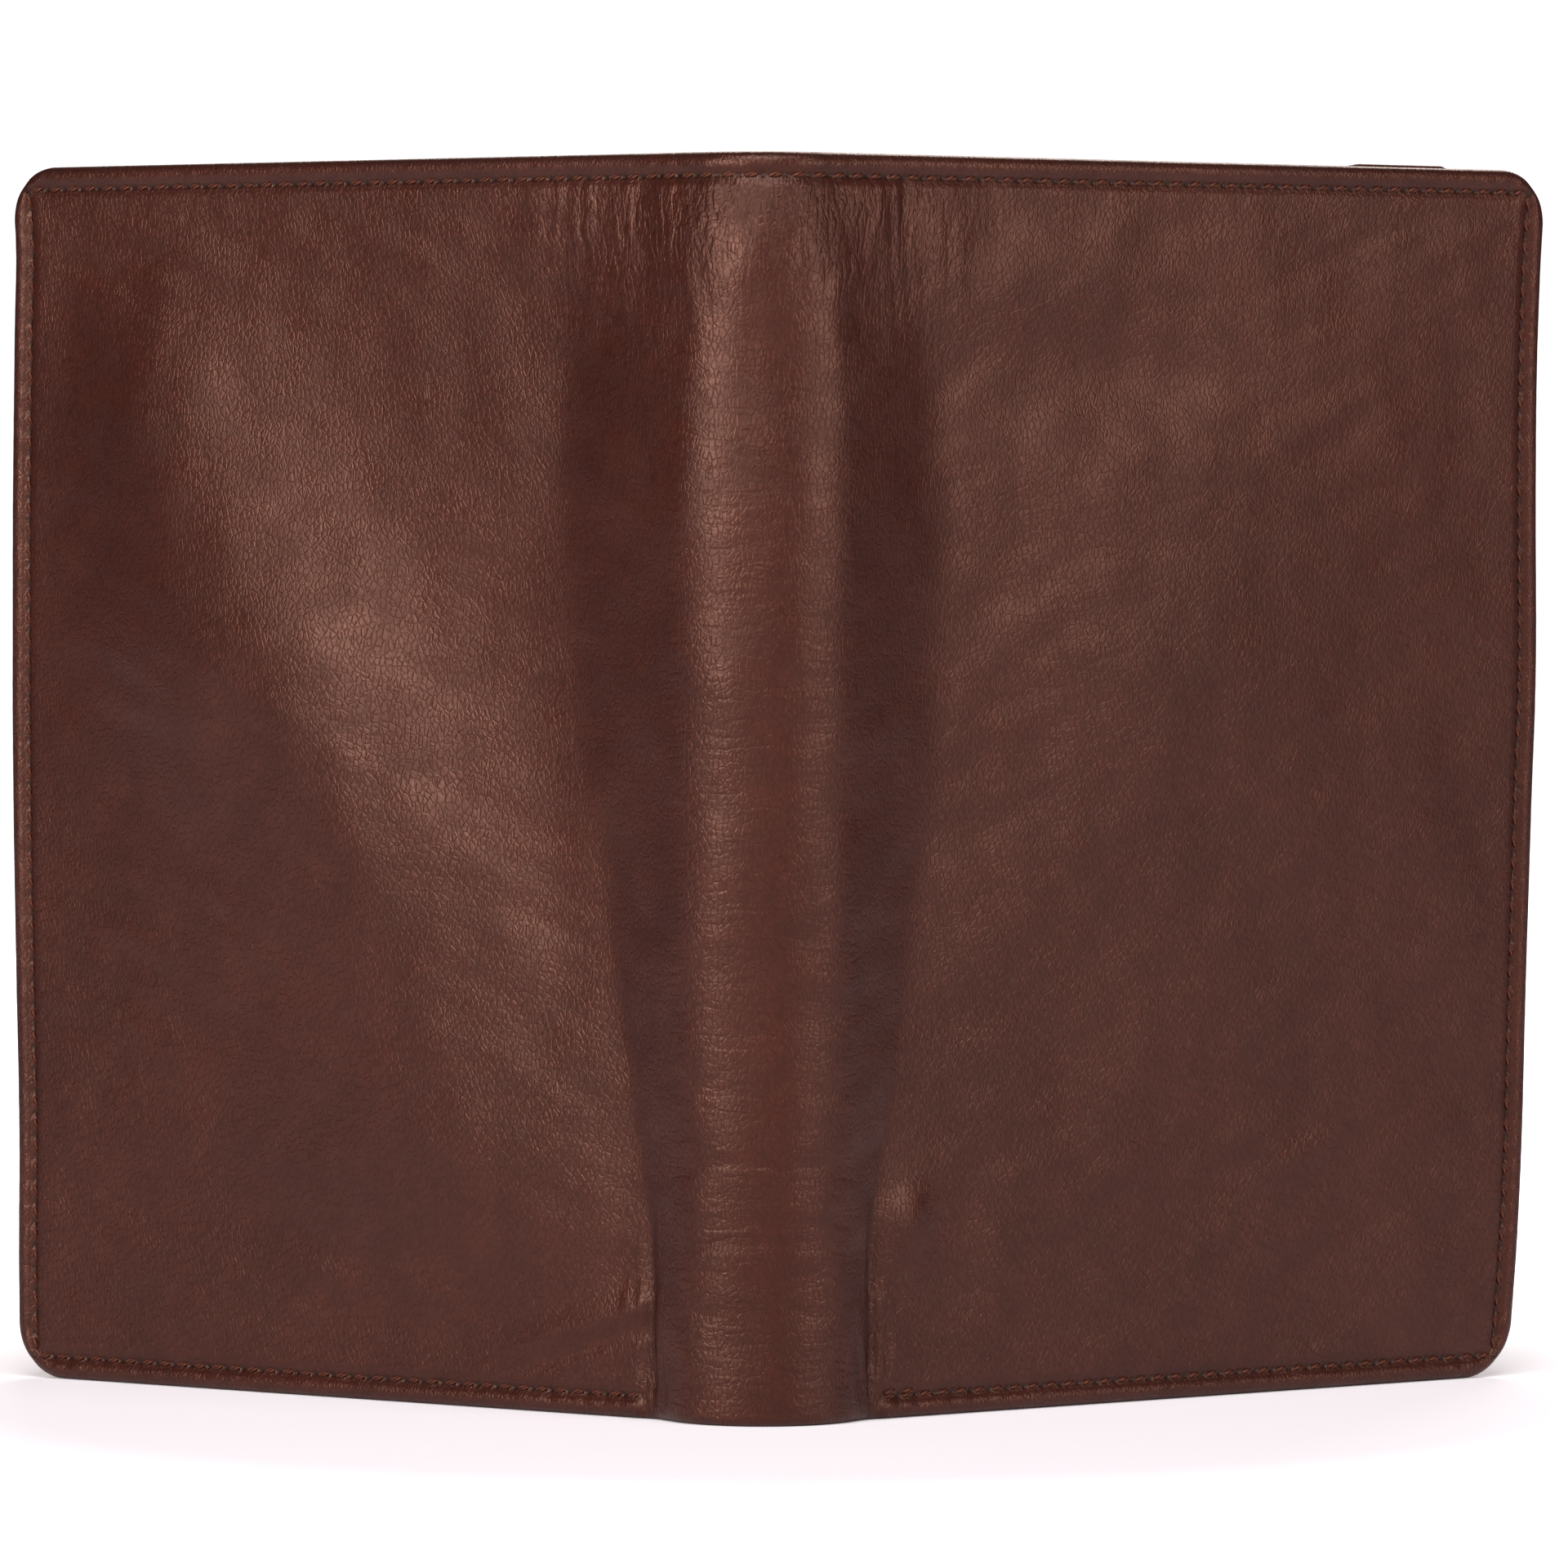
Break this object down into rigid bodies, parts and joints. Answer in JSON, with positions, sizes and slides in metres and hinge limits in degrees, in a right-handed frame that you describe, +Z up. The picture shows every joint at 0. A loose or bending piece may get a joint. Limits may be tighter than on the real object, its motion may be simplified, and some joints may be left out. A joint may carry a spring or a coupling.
{
  "type": "passport wallet",
  "caption": "Bifold leather passport wallet standing open like a book, with a long note compartment, a passport sleeve and stepped card pockets.",
  "frame": {"origin": "middle of the footprint's bounding rectangle, at the height of the bottom edge that the wallet stands on", "axes": "+Z up along the folds; +X along the spread from the back cover to the front cover; +Y inwards, from the spine to the free edges"},
  "size_m": [0.1794, 0.0666, 0.142],
  "materials": {
    "shell_leather": "full-grain hide, fine pebble grain, waxed semi-gloss, dark brown",
    "inner_leather": "thin smooth-grained hide, semi-matt, dark brown",
    "stiffening_board": "pressed leather-fibre board, matt",
    "lining_cloth": "woven twill, matt, dark brown",
    "thread": "twisted polyester sewing thread, slight sheen, brown"
  },
  "bodies": {
    "spine": {"spine_leather": "shell_leather", "spine_lining": "lining_cloth", "spine_divider": "inner_leather", "spine_top_seam": "thread"},
    "back_cover": {"back_cover_leather": "shell_leather", "back_cover_board": "stiffening_board", "back_cover_lining": "lining_cloth", "back_divider": "inner_leather", "back_edge_seam": "thread", "back_top_seam": "thread", "passport_sleeve": "inner_leather", "passport_sleeve_lining": "lining_cloth", "sleeve_top_seam": "thread"},
    "front_cover": {"front_cover_leather": "shell_leather", "front_cover_board": "stiffening_board", "front_cover_lining": "lining_cloth", "front_divider": "inner_leather", "front_edge_seam": "thread", "front_top_seam": "thread", "card_panel": "inner_leather", "card_panel_top_seam": "thread", "card_pocket_1": "inner_leather", "card_pocket_2": "inner_leather", "card_pocket_3": "inner_leather", "card_pocket_4": "inner_leather", "card_pocket_lining_1": "lining_cloth", "card_pocket_lining_2": "lining_cloth", "card_pocket_lining_3": "lining_cloth", "card_pocket_seam": "thread"}
  },
  "joints": [
    {"name": "back_cover_fold", "type": "hinge", "parent": "spine", "child": "back_cover", "pos_m": [-0.0115, -0.02576, 0], "axis": [0, 0, -1], "range_deg": [-35, 55]},
    {"name": "front_cover_fold", "type": "hinge", "parent": "spine", "child": "front_cover", "pos_m": [0.0115, -0.02576, 0], "axis": [0, 0, 1], "range_deg": [-35, 55]}
  ]
}
